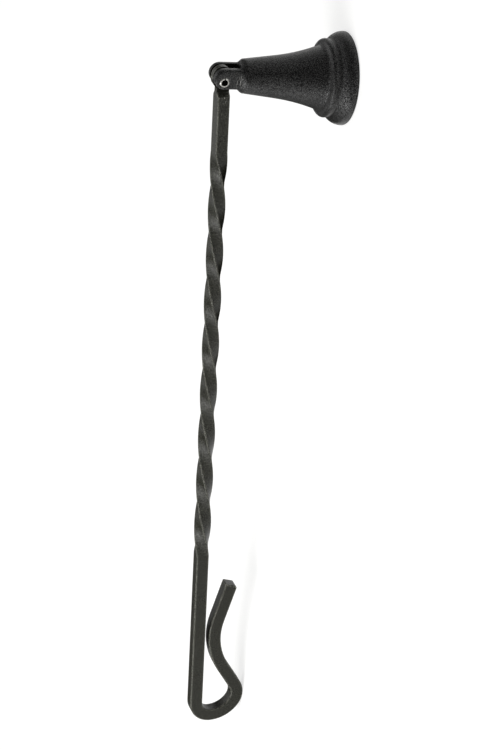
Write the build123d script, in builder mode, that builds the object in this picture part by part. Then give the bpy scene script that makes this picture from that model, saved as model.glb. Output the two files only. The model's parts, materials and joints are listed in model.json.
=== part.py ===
from build123d import *
import os
from math import asin, atan2, cos, hypot, radians, sin

os.makedirs("parts", exist_ok=True)

# All sizes are in millimetres and degrees.
# The snuffer stands on the bell's mouth, with the hanging loop of the handle on the same table.
# The origin is the centre of the mouth, +Z is up the bell's axis and the handle runs towards -X.

# Bell, from the mouth up
mouth_diameter = 45.8
rim_land = 1.5
rim_edge_radius = 1.0
lip_height = 8.2
lip_overhang = 5.2
groove_fillet = 1.2
bead_width = 3.8
bead_rise = 1.55
bead_step = 1.5
bead_fillet = 2.0
flare_height = 23.8
flare_start_diameter = 20.8
cone_height = 16.5
neck_fillet = 1.2
shoulder_height = 1.9
wall = 2.6
crown_thickness = 7.2
crown_fillet = 3.0

# Clevis ears on top of the bell
ear_thickness = 3.0
ear_edge_radius = 1.0
ear_to_shoulder = 1.7
ear_to_neck = 3.3
ear_root_fillet = 0.6
slot_floor_radius = 1.2

# Rolled spring pin, set off the bell's axis towards the handle
pin_offset = 1.4
pin_diameter = 4.75
pin_wall = 0.95
pin_slit = 0.5
pin_protrusion = 0.3
pin_lead_chamfer = 0.3

# Handle: square bar with a forged eye, a twist and a hanging loop
bar = 6.4
bar_edge_radius = 0.6
eye_thickness = 4.4
eye_rise = 0.6
eye_lobe = 1.0
eye_neck_radius = 1.6
shoulder_taper = 2.0
upper_straight = 30.0
upper_turn = 8.0
twist_length = 223.5
twist_quarters = 9
lower_straight = 87.4
heel_radius = 7.6
heel_angle = 87.0
base_radius = 14.3
base_angle = 61.5
toe_radius = 9.5
toe_angle = 62.5
loop_run = 13.4
waist_radius = 34.4
waist_angle = 48.3
tip_length = 20.8
tip_corner_radius = 1.6
tip_edge_chamfer = 0.4

# Clearances
eye_running_clearance = 0.08
eye_side_clearance = 0.6
eye_inside_ear = 0.3
eye_to_neck = 3.6
bar_to_ear = 0.3

# Fits that follow from the sizes above
eye_radius = bar / 2 + eye_rise + eye_lobe
ear_radius = eye_radius + eye_inside_ear
ear_gap = eye_thickness + 2 * eye_side_clearance
clevis_width = ear_gap + 2 * ear_thickness
pin_length = clevis_width + 2 * pin_protrusion
flat_length = ear_radius + pin_offset + bar_to_ear
straight_start = flat_length + shoulder_taper
twist_start = straight_start + upper_straight
twist_end = twist_start + twist_length
loop_start = twist_end + lower_straight
twist_turns = (90 * twist_quarters - upper_turn) / 360

# Heights of the bell's turned features above the mouth
bead_top = lip_height + bead_width
flare_top = bead_top + flare_height
cone_top = flare_top + cone_height
bell_height = cone_top + shoulder_height
cavity_height = bell_height - crown_thickness
pivot_height = bell_height + eye_to_neck + eye_radius

# Slope of the handle: the toe of the loop touches the table that the mouth stands on.
heel_end = radians(heel_angle)
base_end = radians(heel_angle + base_angle)
heel_to_base = heel_radius - base_radius
base_to_toe = base_radius - toe_radius
toe_along = loop_start + heel_to_base * sin(heel_end) + base_to_toe * sin(base_end)
toe_out = eye_rise + heel_radius - heel_to_base * cos(heel_end) - base_to_toe * cos(base_end)
toe_drop = pivot_height - toe_radius - bar / 2
handle_slope = asin(toe_drop / hypot(toe_along, toe_out)) - atan2(toe_out, toe_along)

# Side views: the ears upright on the bell's axis, the pin beside it, the handle along its slope.
ear_centre = (0, 0, pivot_height)
pivot = (-pin_offset, 0, pivot_height)
along = Vector(-cos(handle_slope), 0, -sin(handle_slope))
towards_table = Vector(sin(handle_slope), 0, -cos(handle_slope))
clevis_side = Plane(origin=ear_centre, x_dir=(1, 0, 0), z_dir=(0, -1, 0))
pin_side = Plane(origin=pivot, x_dir=(1, 0, 0), z_dir=(0, -1, 0))
eye_side = Plane(origin=pivot, x_dir=along, z_dir=(0, -1, 0))
bar_side = Plane(origin=eye_side.from_local_coords((0, eye_rise, 0)), x_dir=along, z_dir=(0, -1, 0))


def across_bar(distance):
    # Plane square to the bar, at a distance down the bar from the pivot.
    return Plane(bar_side.from_local_coords((distance, 0, 0)), x_dir=towards_table, z_dir=along)


# Handle
with BuildLine(mode=Mode.PRIVATE) as twist_axis:
    Line(across_bar(twist_start).origin, across_bar(twist_end).origin)

with BuildLine(mode=Mode.PRIVATE) as twist_guide:
    Helix(
        pitch=twist_length / twist_turns,
        height=twist_length,
        radius=bar,
        center=across_bar(twist_start).origin,
        direction=along,
        lefthand=True,
    )

with BuildPart() as handle:
    # Forged eye, a little above the middle of its flat stem, edges softened like the bar's
    with BuildSketch(eye_side) as eye_outline:
        Circle(eye_radius)
        with Locations((0, eye_rise)):
            Rectangle(flat_length, bar, align=(Align.MIN, Align.CENTER))
        fillet(eye_outline.vertices().sort_by(Axis.X)[:2], eye_neck_radius)
    extrude(amount=eye_thickness / 2, both=True)
    down_bar = Axis(pivot, along)
    cheeks = handle.faces().filter_by(Axis.Y)
    fillet([edge for cheek in cheeks for edge in cheek.edges().sort_by(down_bar)[:-1]], bar_edge_radius)

    # Running hole for the pin
    with BuildSketch(eye_side):
        Circle(pin_diameter / 2 + eye_running_clearance)
    extrude(amount=eye_thickness, both=True, mode=Mode.SUBTRACT)

    # Shoulder from the flat to the full square, which stands a little round from the eye
    with BuildSketch(across_bar(flat_length)):
        RectangleRounded(bar, eye_thickness, bar_edge_radius)
    with BuildSketch(across_bar(straight_start)):
        RectangleRounded(bar, bar, bar_edge_radius, rotation=-upper_turn)
    loft()

    # Straight stretch above the twist
    with BuildSketch(across_bar(straight_start)):
        RectangleRounded(bar, bar, bar_edge_radius, rotation=-upper_turn)
    extrude(amount=upper_straight)

    # Left-handed twist
    with BuildSketch(across_bar(twist_start)):
        RectangleRounded(bar, bar, bar_edge_radius, rotation=-upper_turn)
    sweep(path=twist_axis.wire(), binormal=twist_guide.wire())

    # Straight stretch below the twist, the hanging loop, its waist and the flared tip
    with BuildLine(bar_side) as hook_line:
        straight = Line((twist_end, 0), (loop_start, 0))
        heel = JernArc(straight @ 1, straight % 1, heel_radius, heel_angle)
        base = JernArc(heel @ 1, heel % 1, base_radius, base_angle)
        toe = JernArc(base @ 1, base % 1, toe_radius, toe_angle)
        run = Line(toe @ 1, toe @ 1 + loop_run * (toe % 1))
        waist_bend = JernArc(run @ 1, run % 1, waist_radius, -waist_angle)
        tip = Line(waist_bend @ 1, waist_bend @ 1 + tip_length * (waist_bend % 1))
    with BuildSketch(across_bar(twist_end)):
        RectangleRounded(bar, bar, bar_edge_radius)
    sweep()

    # Tip's end: bevelled all round, with its outer corner rounded off
    chamfer(handle.faces().sort_by_distance(tip @ 1)[0].edges(), tip_edge_chamfer)
    with BuildSketch(Plane(tip @ 1, x_dir=tip % 1, z_dir=bar_side.z_dir)):
        with Locations((0, -bar / 2)):
            Rectangle(tip_corner_radius, tip_corner_radius, align=(Align.MAX, Align.MIN))
        with Locations((-tip_corner_radius, tip_corner_radius - bar / 2)):
            Circle(tip_corner_radius, mode=Mode.SUBTRACT)
    extrude(amount=bar, both=True, mode=Mode.SUBTRACT)

handle.part.label = "handle"
export_step(handle.part, "parts/handle.step")

# Bell
mouth_radius = mouth_diameter / 2
groove_radius = mouth_radius - lip_overhang
flare_end_radius = groove_radius - bead_step
flare_start_radius = flare_start_diameter / 2
neck_radius = ear_radius + ear_to_neck
shoulder_radius = ear_radius + ear_to_shoulder
cone_slope = (flare_start_radius - neck_radius) / cone_height
cavity_radius = neck_radius + cone_slope * (cone_top - cavity_height) - wall
rim_face_radius = mouth_radius - rim_edge_radius

with BuildPart() as bell:
    # Clevis: two round-ended ears that rise from the neck
    with BuildSketch(clevis_side):
        Circle(ear_radius)
        Rectangle(2 * ear_radius, pivot_height - cone_top, align=(Align.CENTER, Align.MAX))
    extrude(amount=clevis_width / 2, both=True)
    fillet(bell.faces().filter_by(Axis.Y).edges(), ear_edge_radius)

    # Slot for the handle's eye, with rounded floor corners
    with BuildSketch(Plane.YZ) as slot_outline:
        with Locations((0, bell_height)):
            Rectangle(ear_gap, pivot_height, align=(Align.CENTER, Align.MIN))
        fillet(slot_outline.vertices().group_by(Axis.Y)[0], slot_floor_radius)
    extrude(amount=neck_radius, both=True, mode=Mode.SUBTRACT)

    # Turned body, solid at the crown and hollow below
    with BuildSketch(Plane.XZ) as bell_profile:
        with BuildLine():
            rim = Line((rim_face_radius - rim_land, 0), (rim_face_radius, 0))
            rim_edge = TangentArc(rim @ 1, (mouth_radius, rim_edge_radius), tangent=rim % 1)
            lip = TangentArc(rim_edge @ 1, (groove_radius, lip_height), tangent=rim_edge % 1)
            bead_crest = (groove_radius + bead_rise, lip_height + bead_width / 2)
            bead = ThreePointArc(lip @ 1, bead_crest, (flare_end_radius, bead_top))
            cone = Line((neck_radius, cone_top), (flare_start_radius, flare_top))
            TangentArc(cone @ 1, bead @ 1, tangent=cone % 1)
            shoulder = Line(cone @ 0, (shoulder_radius, bell_height))
            Polyline(shoulder @ 1, (0, bell_height), (0, cavity_height), (cavity_radius, cavity_height))
            inner_cone = Line((cavity_radius, cavity_height), (flare_start_radius - wall, flare_top))
            inner_throat = (flare_end_radius - wall, bead_top)
            inner_flare = TangentArc(inner_cone @ 1, inner_throat, tangent=inner_cone % 1)
            behind_groove = Line(inner_flare @ 1, (groove_radius - wall, lip_height))
            TangentArc(behind_groove @ 1, rim @ 0, tangent=behind_groove % 1)
        make_face()
        soft_corners = (
            ((cavity_radius, cavity_height), crown_fillet),
            (bead @ 0, groove_fillet),
            (bead @ 1, bead_fillet),
            (cone @ 0, neck_fillet),
        )
        for corner, radius in soft_corners:
            fillet(bell_profile.vertices().sort_by_distance(corner)[0], radius)
    revolve(axis=Axis.Z)
    fillet(bell.edges(Select.NEW), ear_root_fillet)

    # Hole for the pin
    with BuildSketch(pin_side):
        Circle(pin_diameter / 2)
    extrude(amount=clevis_width, both=True, mode=Mode.SUBTRACT)

bell.part.label = "bell"
export_step(bell.part, "parts/bell.step")

# Pivot pin, its slit turned away from the handle
with BuildPart() as pivot_pin:
    with BuildSketch(pin_side):
        Circle(pin_diameter / 2)
        Circle(pin_diameter / 2 - pin_wall, mode=Mode.SUBTRACT)
        Rectangle(pin_diameter, pin_slit, align=(Align.MIN, Align.CENTER), mode=Mode.SUBTRACT)
    extrude(amount=pin_length / 2, both=True)
    end_rings = pivot_pin.faces().filter_by(Axis.Y).edges().filter_by(GeomType.CIRCLE)
    chamfer(end_rings.group_by(SortBy.RADIUS)[-1], pin_lead_chamfer)

pivot_pin.part.label = "pivot_pin"
export_step(pivot_pin.part, "parts/pivot_pin.step")
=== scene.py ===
import json
import math
import bpy
from mathutils import Matrix, Vector


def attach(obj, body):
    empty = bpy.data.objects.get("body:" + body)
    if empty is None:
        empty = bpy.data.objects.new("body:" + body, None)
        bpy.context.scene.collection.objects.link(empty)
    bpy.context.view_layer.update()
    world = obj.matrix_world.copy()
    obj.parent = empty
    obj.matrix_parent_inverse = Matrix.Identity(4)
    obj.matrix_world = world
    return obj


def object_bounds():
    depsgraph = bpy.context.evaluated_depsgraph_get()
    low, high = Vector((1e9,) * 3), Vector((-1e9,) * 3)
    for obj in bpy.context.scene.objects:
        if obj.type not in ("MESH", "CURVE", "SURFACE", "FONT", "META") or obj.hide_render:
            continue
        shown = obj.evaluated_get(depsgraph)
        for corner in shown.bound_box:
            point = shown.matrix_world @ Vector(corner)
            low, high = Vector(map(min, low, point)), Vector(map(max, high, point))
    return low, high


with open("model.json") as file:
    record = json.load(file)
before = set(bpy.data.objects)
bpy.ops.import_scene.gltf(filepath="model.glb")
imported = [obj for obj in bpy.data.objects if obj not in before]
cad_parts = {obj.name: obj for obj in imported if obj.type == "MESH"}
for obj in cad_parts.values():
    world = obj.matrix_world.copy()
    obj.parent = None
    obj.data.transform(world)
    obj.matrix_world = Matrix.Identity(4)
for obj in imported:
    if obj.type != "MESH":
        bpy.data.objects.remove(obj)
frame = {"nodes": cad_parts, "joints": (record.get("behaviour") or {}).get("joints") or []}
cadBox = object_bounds()
nodes = frame["nodes"]
pivot = Vector(frame["joints"][0]["pos_m"])
mm = 0.001
mixFrom, mixTo, mixOut = 6, 7, 2          # colour sockets of a Mix node
print("frame loaded:", ", ".join(sorted(nodes)))


def linear(hexColour):
    channels = [int(hexColour[i:i + 2], 16) / 255 for i in (0, 2, 4)]
    return tuple(c / 12.92 if c <= 0.04045 else ((c + 0.055) / 1.055) ** 2.4 for c in channels) + (1.0,)


def addNode(tree, kind, settings=None, links=None):
    node = tree.nodes.new(kind)
    for name, value in (settings or {}).items():
        if isinstance(name, int) or name in node.inputs:
            node.inputs[name].default_value = value
        else:
            setattr(node, name, value)
    for name, source in (links or {}).items():
        tree.links.new(source, node.inputs[name])
    return node


def newMaterial(name):
    material = bpy.data.materials.new(name)
    material.use_nodes = True
    tree = material.node_tree
    tree.nodes.clear()
    return material, tree, addNode(tree, "ShaderNodeOutputMaterial")


# Place measured from the pin's middle, and distance from its axis
def aroundPin(tree, place):
    fromPin = addNode(tree, "ShaderNodeVectorMath", {"operation": "SUBTRACT", 1: pivot},
                      {0: place}).outputs["Vector"]
    flat = addNode(tree, "ShaderNodeVectorMath", {"operation": "MULTIPLY", 1: (1, 0, 1)}, {0: fromPin})
    away = addNode(tree, "ShaderNodeVectorMath", {"operation": "LENGTH"}, {0: flat.outputs["Vector"]})
    return fromPin, away.outputs["Value"]


grit = {                                          # each pair: height of the noise where a change starts and ends
    "blackness": (0.51, 0.65), "shine": (0.4, 0.66), "edgeRubAndHighlight": (0.35, 0.6), "scuffing": (0.6, 0.7),
    "patches": (0.3, 0.7), "patchDetail": 3.0, "scuffDetail": 1.0,
    "grooveRays": 12, "cornerRays": 8,
}
paintedGapShade = "141410"                                 # painted shade: near black where the eye runs in the gap between the ears
barCoat = {
    "valley": "171711", "crest": "3a3a2f",        # warm black
    "paleEdgeWearAndHighlight": "a6a69a",                             # greyer along the edges: edge wear, partly a painted highlight
    "shaded": "8c8c88", "glint": "ffffff",        # shine that a hollow and a crest of the grit give back
    "grain": 0.32 * mm, "relief": 0.09 * mm,      # real grit is about 0.1 mm: drawn coarser so that it shows
    "patch": 14 * mm,                             # slow change of gloss along the bar
    "soften": 0.5 * mm,                           # the coat's own roundness over small corners
    "edge": 1.1 * mm, "edgeRange": (0.86, 0.7),
    "recess": 3.0 * mm, "recessRange": (0.8, 0.4),
    "gloss": (0.26, 0.34), "matt": 0.35,
    "specular": 0.44,
    "scuff": "a09f98", "scuffSize": (1.6 * mm, 0.45 * mm, 0.45 * mm),
    "scuffPlace": pivot + Vector((-10.2, -3.2, -1.6)) * mm, "scuffReach": (2.5 * mm, 1.25 * mm),
    "cheek": (1.25 * mm, 1.5 * mm),               # sides of the eye, out from its middle, where the painted gap shade starts
    "cheekReach": (7.8 * mm, 6.4 * mm),
}
bellCoat = {
    "valley": "151515", "crest": "363635",        # neutral black
    # paler along the edges: edge wear, partly a painted highlight
    "paleEdgeWearAndHighlight": "6a6a68",
    "shaded": "303030", "glint": "ffffff",
    "grain": 0.36 * mm, "relief": 0.15 * mm,      # rougher than on the bar, from the sand mould
    "patch": 18 * mm,
    "soften": 2.4 * mm,
    "edge": 0.9 * mm, "edgeRange": (0.88, 0.66),
    "recess": 3.0 * mm, "recessRange": (0.8, 0.4),
    "gloss": (0.3, 0.38), "matt": 0.4,
    "specular": 0.7,
    "scuff": "a4a4a0", "scuffSize": (2.6 * mm, 0.3 * mm, 0.3 * mm),      # chafed below the near ear
    "scuffPlace": pivot + Vector((0.5, -5.5, -8.2)) * mm, "scuffReach": (4.0 * mm, 2.0 * mm),
    "cheek": (3.05 * mm, 2.85 * mm),              # walls of the slot, in towards its middle, take painted gap shade
    "cheekReach": (11.0 * mm, 9.5 * mm),
}


# Sand-textured powder coat: baked black grains that break the softbox's reflection into fine specks,
# paler along the outside edges from edge wear and a painted highlight, thick and dull in the grooves, with
# painted shade in the joint
def texturedCoat(name, finish):
    material, tree, output = newMaterial(name)
    place = addNode(tree, "ShaderNodeTexCoord").outputs["Object"]
    grain = addNode(tree, "ShaderNodeTexNoise", {"Scale": 1 / finish["grain"], "Detail": 0.0},
                    {"Vector": place}).outputs["Fac"]
    patch = addNode(tree, "ShaderNodeTexNoise", {"Scale": 1 / finish["patch"], "Detail": grit["patchDetail"]},
                    {"Vector": place}).outputs["Fac"]
    black = addNode(tree, "ShaderNodeValToRGB", links={"Fac": grain})
    glint = addNode(tree, "ShaderNodeValToRGB", links={"Fac": grain})
    for ramp, heights, shades in ((black, "blackness", ("valley", "crest")),
                                  (glint, "shine", ("shaded", "glint"))):
        for stop, height, shade in zip(ramp.color_ramp.elements, grit[heights], shades):
            stop.position, stop.color = height, linear(finish[shade])
    inside = addNode(tree, "ShaderNodeAmbientOcclusion",             # looks into the metal: low along an edge
                     {"inside": True, "only_local": True, "samples": grit["grooveRays"],
                      "Distance": finish["edge"]})
    edge = addNode(tree, "ShaderNodeMapRange",
                   {"From Min": finish["edgeRange"][0], "From Max": finish["edgeRange"][1]},
                   {"Value": inside.outputs["AO"]})
    # paler edges: edge wear, partly a painted highlight
    rubbedAndHighlitEdge = addNode(tree, "ShaderNodeMapRange",
                     {"From Min": grit["edgeRubAndHighlight"][0], "From Max": grit["edgeRubAndHighlight"][1]},
                     {"Value": grain, "To Max": edge.outputs["Result"]})
    paleEdgeWearAndHighlight = addNode(tree, "ShaderNodeMix", {"data_type": "RGBA", mixTo: linear(finish["paleEdgeWearAndHighlight"])},
                   {"Factor": rubbedAndHighlitEdge.outputs["Result"], mixFrom: black.outputs["Color"]})
    stroke = addNode(tree, "ShaderNodeMapping",                      # scuffs are short strokes along X
                     {"Scale": [1 / size for size in finish["scuffSize"]]}, {"Vector": place})
    streak = addNode(tree, "ShaderNodeTexNoise", {"Scale": 1.0, "Detail": grit["scuffDetail"]},
                     {"Vector": stroke.outputs["Vector"]})
    away = addNode(tree, "ShaderNodeVectorMath", {"operation": "DISTANCE", 1: finish["scuffPlace"]}, {0: place})
    near = addNode(tree, "ShaderNodeMapRange",
                   {"From Min": finish["scuffReach"][0], "From Max": finish["scuffReach"][1]},
                   {"Value": away.outputs["Value"]})
    scuffed = addNode(tree, "ShaderNodeMapRange",
                      {"From Min": grit["scuffing"][0], "From Max": grit["scuffing"][1]},
                      {"Value": streak.outputs["Fac"], "To Max": near.outputs["Result"]})
    marked = addNode(tree, "ShaderNodeMix", {"data_type": "RGBA", mixTo: linear(finish["scuff"])},
                     {"Factor": scuffed.outputs["Result"], mixFrom: paleEdgeWearAndHighlight.outputs[mixOut]})
    fromPin, reach = aroundPin(tree, place)
    alongPin = addNode(tree, "ShaderNodeSeparateXYZ", links={"Vector": fromPin})
    aside = addNode(tree, "ShaderNodeMath", {"operation": "ABSOLUTE"}, {0: alongPin.outputs["Y"]})
    joint = addNode(tree, "ShaderNodeMapRange",
                    {"From Min": finish["cheekReach"][0], "From Max": finish["cheekReach"][1]},
                    {"Value": reach})
    paintedGapShadeMask = addNode(tree, "ShaderNodeMapRange",                    # painted shade: black where the eye runs between the ears
                      {"From Min": finish["cheek"][0], "From Max": finish["cheek"][1]},
                      {"Value": aside.outputs["Value"], "To Max": joint.outputs["Result"]})
    # the painted gap shade darkens the colour and the shine alike
    gapShadedColour, gapShadedShine = [addNode(tree, "ShaderNodeMix", {"data_type": "RGBA", mixTo: linear(paintedGapShade)},
                               {"Factor": paintedGapShadeMask.outputs["Result"], mixFrom: clean})
                       for clean in (marked.outputs[mixOut], glint.outputs["Color"])]
    around = addNode(tree, "ShaderNodeAmbientOcclusion",             # looks out of the metal: low in a groove
                     {"samples": grit["grooveRays"], "Distance": finish["recess"]})
    gloss = addNode(tree, "ShaderNodeMapRange",
                    {"From Min": grit["patches"][0], "From Max": grit["patches"][1],
                     "To Min": finish["gloss"][0], "To Max": finish["gloss"][1]}, {"Value": patch})
    recess = addNode(tree, "ShaderNodeMapRange",
                     {"From Min": finish["recessRange"][0], "From Max": finish["recessRange"][1],
                      "To Max": finish["matt"]}, {"Value": around.outputs["AO"]})
    roughness = addNode(tree, "ShaderNodeMath", {"operation": "ADD"},
                        {0: gloss.outputs["Result"], 1: recess.outputs["Result"]})
    soft = addNode(tree, "ShaderNodeBevel", {"samples": grit["cornerRays"], "Radius": finish["soften"]})
    bump = addNode(tree, "ShaderNodeBump", {"Strength": 1.0, "Distance": finish["relief"]},
                   {"Height": grain, "Normal": soft.outputs["Normal"]})
    coat = addNode(tree, "ShaderNodeBsdfPrincipled", {"Specular IOR Level": finish["specular"]},
                   {"Base Color": gapShadedColour.outputs[mixOut], "Roughness": roughness.outputs["Value"],
                    "Specular Tint": gapShadedShine.outputs[mixOut], "Normal": bump.outputs["Normal"]})
    tree.links.new(coat.outputs["BSDF"], output.inputs["Surface"])
    return material


pinSteel = {
    "dull": "8e8d88", "bright": "c8c7c2", "paintedBoreShade": "0b0b0b",
    "scuffing": (0.35, 0.6), "scuffDetail": 3.0,
    "boreRadius": 1.58 * mm, "boreEdge": 0.14 * mm,
    "scratch": 0.35 * mm, "gloss": (0.3, 0.45),
}


# Rolled spring steel: a bright scuffed ring at each end, and painted shade that makes the hole through it near
# black
def rolledSteel(name, finish):
    material, tree, output = newMaterial(name)
    place = addNode(tree, "ShaderNodeTexCoord").outputs["Object"]
    scuff = addNode(tree, "ShaderNodeTexNoise",
                    {"Scale": 1 / finish["scratch"], "Detail": finish["scuffDetail"]},
                    {"Vector": place}).outputs["Fac"]
    steel = addNode(tree, "ShaderNodeValToRGB", links={"Fac": scuff})
    for stop, height, shade in zip(steel.color_ramp.elements, finish["scuffing"], ("dull", "bright")):
        stop.position, stop.color = height, linear(finish[shade])
    reach = aroundPin(tree, place)[1]
    # painted shade: near black inside the hole, out to its edge
    ring = addNode(tree, "ShaderNodeMapRange",
                   {"From Min": finish["boreRadius"], "From Max": finish["boreRadius"] + finish["boreEdge"]},
                   {"Value": reach})
    colour = addNode(tree, "ShaderNodeMix", {"data_type": "RGBA", mixFrom: linear(finish["paintedBoreShade"])},
                     {"Factor": ring.outputs["Result"], mixTo: steel.outputs["Color"]})
    gloss = addNode(tree, "ShaderNodeMapRange", {"To Min": finish["gloss"][0], "To Max": finish["gloss"][1]},
                    {"Value": scuff})
    metal = addNode(tree, "ShaderNodeBsdfPrincipled", {"Metallic": 1.0},
                    {"Base Color": colour.outputs[mixOut], "Roughness": gloss.outputs["Result"]})
    tree.links.new(metal.outputs["BSDF"], output.inputs["Surface"])
    return material


finishes = {
    "handle": texturedCoat("powderCoatedSteelBar", barCoat),
    "bell": texturedCoat("powderCoatedCastIron", bellCoat),
    "pivot_pin": rolledSteel("rolledSpringSteel", pinSteel),
}
for name, finish in finishes.items():
    nodes[name].data.materials.clear()
    nodes[name].data.materials.append(finish)
print("finishes:", ", ".join(sorted(finishes)))


eyeNose = {                                       # round front of the handle's eye, nearly flush with the ears
    "radius": 4.8 * mm, "reach": 1.8 * mm,        # its centre stands this far in front of the pin
    "thickness": 3.2 * mm, "edgeRound": 0.25 * mm, "edgeSteps": 6,
    "core": 2.9 * mm, "coreLength": 19.2 * mm,    # cut away round the pin's hole
    "sides": 96,
    "sharpAngle": math.radians(60), "smoothAngle": math.radians(40),
    "backNormal": -0.99,
}
acrossBar = (math.radians(90), 0, 0)
noseCentre = pivot + Vector((eyeNose["reach"], 0, 0))
bpy.ops.object.select_all(action="DESELECT")
bpy.ops.mesh.primitive_cylinder_add(vertices=eyeNose["sides"], radius=eyeNose["radius"],
                                    depth=eyeNose["thickness"], location=noseCentre, rotation=acrossBar)
nose = bpy.context.object
nose.name = "eyeNose"
bpy.ops.object.transform_apply(location=True, rotation=True, scale=True)
rounding = nose.modifiers.new("edgeRound", "BEVEL")
rounding.width, rounding.segments = eyeNose["edgeRound"], eyeNose["edgeSteps"]
rounding.limit_method, rounding.angle_limit = "ANGLE", eyeNose["sharpAngle"]
bpy.ops.object.modifier_apply(modifier="edgeRound")
bpy.ops.object.mode_set(mode="EDIT")
bpy.ops.mesh.select_all(action="SELECT")
bpy.ops.mesh.bisect(plane_co=noseCentre, plane_no=(1, 0, 0), clear_inner=True, use_fill=True)
bpy.ops.mesh.select_all(action="DESELECT")
bpy.ops.object.mode_set(mode="OBJECT")
for face in nose.data.polygons:                   # the flat back that the cut left
    face.select = face.normal.x < eyeNose["backNormal"]
bpy.ops.object.mode_set(mode="EDIT")
bpy.ops.mesh.select_mode(type="FACE")
bpy.ops.mesh.extrude_region_move(TRANSFORM_OT_translate={"value": (-eyeNose["reach"], 0, 0)})
bpy.ops.mesh.select_all(action="SELECT")
bpy.ops.mesh.normals_make_consistent(inside=False)
bpy.ops.object.mode_set(mode="OBJECT")
bpy.ops.object.select_all(action="DESELECT")
bpy.ops.mesh.primitive_cylinder_add(vertices=eyeNose["sides"], radius=eyeNose["core"],
                                    depth=eyeNose["coreLength"], location=pivot, rotation=acrossBar)
core = bpy.context.object
cut = nose.modifiers.new("core", "BOOLEAN")
cut.operation, cut.solver, cut.object = "DIFFERENCE", "EXACT", core
bpy.ops.object.select_all(action="DESELECT")
bpy.context.view_layer.objects.active = nose
nose.select_set(True)
bpy.ops.object.modifier_apply(modifier="core")
bpy.ops.object.shade_smooth_by_angle(angle=eyeNose["smoothAngle"])
bpy.data.objects.remove(core)
nose.data.materials.append(finishes["handle"])
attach(nose, "handle")
print("eye nose:", len(nose.data.polygons), "faces")


studio = {
    "floorSize": 30.0, "floorColour": "a8a8a6", "floorGlow": 0.70,
    "worldColour": "ffffff", "worldLevel": 0.12,
}


# Matt paper sweep: pale, keeps a soft shadow, and shows as white to the camera and in reflections
def paperSweep(name):
    material, tree, output = newMaterial(name)
    ray = addNode(tree, "ShaderNodeLightPath").outputs
    shown = addNode(tree, "ShaderNodeMath", {"operation": "MAXIMUM"},
                    {0: ray["Is Camera Ray"], 1: ray["Is Glossy Ray"]})
    through = addNode(tree, "ShaderNodeMath", {"operation": "MAXIMUM"},
                      {0: shown.outputs["Value"], 1: ray["Is Transmission Ray"]})
    level = addNode(tree, "ShaderNodeMath", {"operation": "MULTIPLY", 1: studio["floorGlow"]},
                    {0: through.outputs["Value"]})
    glow = addNode(tree, "ShaderNodeEmission", links={"Strength": level.outputs["Value"]})
    paper = addNode(tree, "ShaderNodeBsdfDiffuse", {"Color": linear(studio["floorColour"])})
    both = addNode(tree, "ShaderNodeAddShader", links={0: paper.outputs["BSDF"], 1: glow.outputs["Emission"]})
    tree.links.new(both.outputs["Shader"], output.inputs["Surface"])
    return material


def compass(azimuth, elevation):
    azimuth, elevation = math.radians(azimuth), math.radians(elevation)
    return Vector((math.sin(azimuth) * math.cos(elevation), -math.cos(azimuth) * math.cos(elevation),
                   math.sin(elevation)))


bpy.ops.object.select_all(action="DESELECT")
bpy.ops.mesh.primitive_plane_add(size=studio["floorSize"], location=(0, 0, cadBox[0].z))
floor = bpy.context.object
floor.name = "floor"
floor.data.materials.append(paperSweep("paperSweep"))

world = bpy.data.worlds.new("studio")
bpy.context.scene.world = world
world.use_nodes = True
background = world.node_tree.nodes["Background"]
background.inputs["Color"].default_value = linear(studio["worldColour"])
background.inputs["Strength"].default_value = studio["worldLevel"]

cards = {                                         # near edge by the floor, far edge at the height
    "frontCard": {"azimuth": 38, "near": 0.1, "nearWidth": 0.06, "far": 0.6, "farWidth": 0.75, "height": 0.26},
    "backCard": {"azimuth": 208, "near": 0.55, "nearWidth": 1.0, "far": 0.55, "farWidth": 1.0, "height": 0.2},
    "floorCard": {"azimuth": 226, "near": 0.03, "nearWidth": 0.1, "far": 0.17, "farWidth": 0.26,
                  "height": 0.002},
}
velour = "060606"


# Black velour, which gives back almost no light: the bell mirrors the front card as a dark band and the
# floor card along its lower side, and the inner faces of the hook mirror the back card
def velourCard(name, colour):
    material, tree, output = newMaterial(name)
    pile = addNode(tree, "ShaderNodeBsdfDiffuse", {"Color": linear(colour), "Roughness": 1.0})
    tree.links.new(pile.outputs["BSDF"], output.inputs["Surface"])
    return material


velourBlack = velourCard("blackVelour", velour)
for name, card in cards.items():
    outwards, along = compass(card["azimuth"], 0), compass(card["azimuth"] + 90, 0)
    ends = {"near": cadBox[0].z + mm, "far": card["height"]}
    corners = [outwards * card[end] + along * card[end + "Width"] * side + Vector((0, 0, height))
               for end, height in ends.items() for side in (-0.5, 0.5)]
    bpy.ops.mesh.primitive_plane_add()
    panel = bpy.context.object
    panel.name = name
    for vertex, corner in zip(panel.data.vertices, corners):
        vertex.co = corner
    panel.data.materials.append(velourBlack)
    panel.visible_camera = panel.visible_shadow = panel.visible_diffuse = False    # shows in reflections alone

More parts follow.
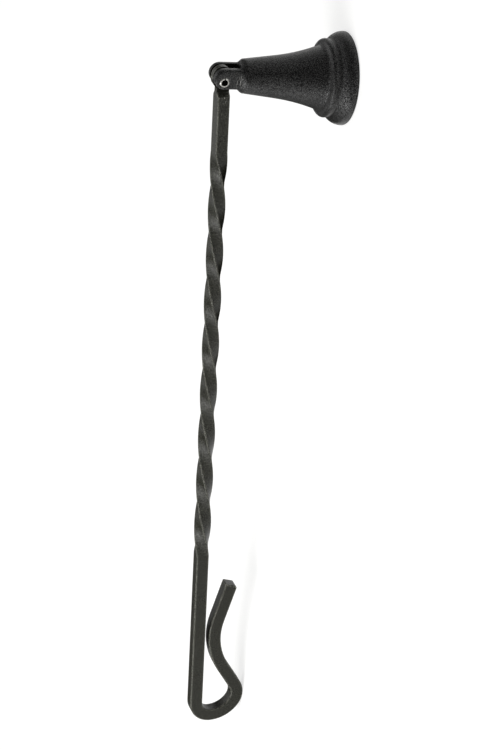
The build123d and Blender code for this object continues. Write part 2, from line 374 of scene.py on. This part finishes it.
middle = (cadBox[0] + cadBox[1]) / 2
softboxes = {                                     # level is the brightness of a box's face: 1 is white paper
    "keySoftbox": {"azimuth": -48, "elevation": 50, "distance": 1.3, "size": (0.75, 0.75), "level": 7.0},
    "sideSoftbox": {"azimuth": -46, "elevation": 14, "distance": 1.2, "size": (1.0, 0.75), "level": 2.2},
    "topSoftbox": {"azimuth": 150, "elevation": 75, "distance": 1.6, "size": (1.6, 1.6), "level": 0.95},
    "backSoftbox": {"azimuth": 186, "elevation": 36, "distance": 2.4, "size": (3.4, 1.9), "level": 0.7},
}
for name, box in softboxes.items():
    outwards = compass(box["azimuth"], box["elevation"])
    lamp = bpy.data.lights.new(name, "AREA")
    lamp.shape = "RECTANGLE"
    lamp.size, lamp.size_y = box["size"]
    lamp.energy = box["level"] * math.pi * lamp.size * lamp.size_y
    lampObject = bpy.data.objects.new(name, lamp)
    bpy.context.scene.collection.objects.link(lampObject)
    lampObject.location = middle + outwards * box["distance"]
    lampObject.rotation_euler = outwards.to_track_quat("Z", "Y").to_euler()
    lampObject.visible_camera = False
print("studio:", ", ".join(softboxes))


photoView = {
    "imageSize": (500, 750),
    "azimuth": 26.711, "elevation": 19.106,       # where the camera stands
    "roll": -90.05,                               # the frame is turned so that the handle hangs down it
    "distance": 2.2496,                           # from the pivot, along the view
    "scale": 2080.8,                              # pixels to a metre at the pivot
    "pivotPixel": (220.67, 77.69),
    "sensor": 36.0,
}
azimuth = math.radians(photoView["azimuth"])
towardsCamera = compass(photoView["azimuth"], photoView["elevation"])
levelRight = Vector((math.cos(azimuth), math.sin(azimuth), 0))
levelUp = towardsCamera.cross(levelRight)
turn = Matrix((levelRight, levelUp, towardsCamera)).transposed()
turn = turn @ Matrix.Rotation(math.radians(photoView["roll"]), 3, "Z")
imageWidth, imageHeight = photoView["imageSize"]
right = (photoView["pivotPixel"][0] - (imageWidth - 1) / 2) / photoView["scale"]   # pivot, from mid-frame
up = ((imageHeight - 1) / 2 - photoView["pivotPixel"][1]) / photoView["scale"]
cameraData = bpy.data.cameras.new("photoCamera")
cameraData.sensor_width = photoView["sensor"]
cameraData.lens = photoView["scale"] * photoView["distance"] * photoView["sensor"] / imageHeight
camera = bpy.data.objects.new("photoCamera", cameraData)
bpy.context.scene.collection.objects.link(camera)
camera.location = pivot - turn.col[0] * right - turn.col[1] * up + turn.col[2] * photoView["distance"]
camera.rotation_euler = turn.to_euler()
bpy.context.scene.camera = camera
bpy.context.scene.view_settings.view_transform = "Standard"
print("camera:", [round(x, 3) for x in camera.location])
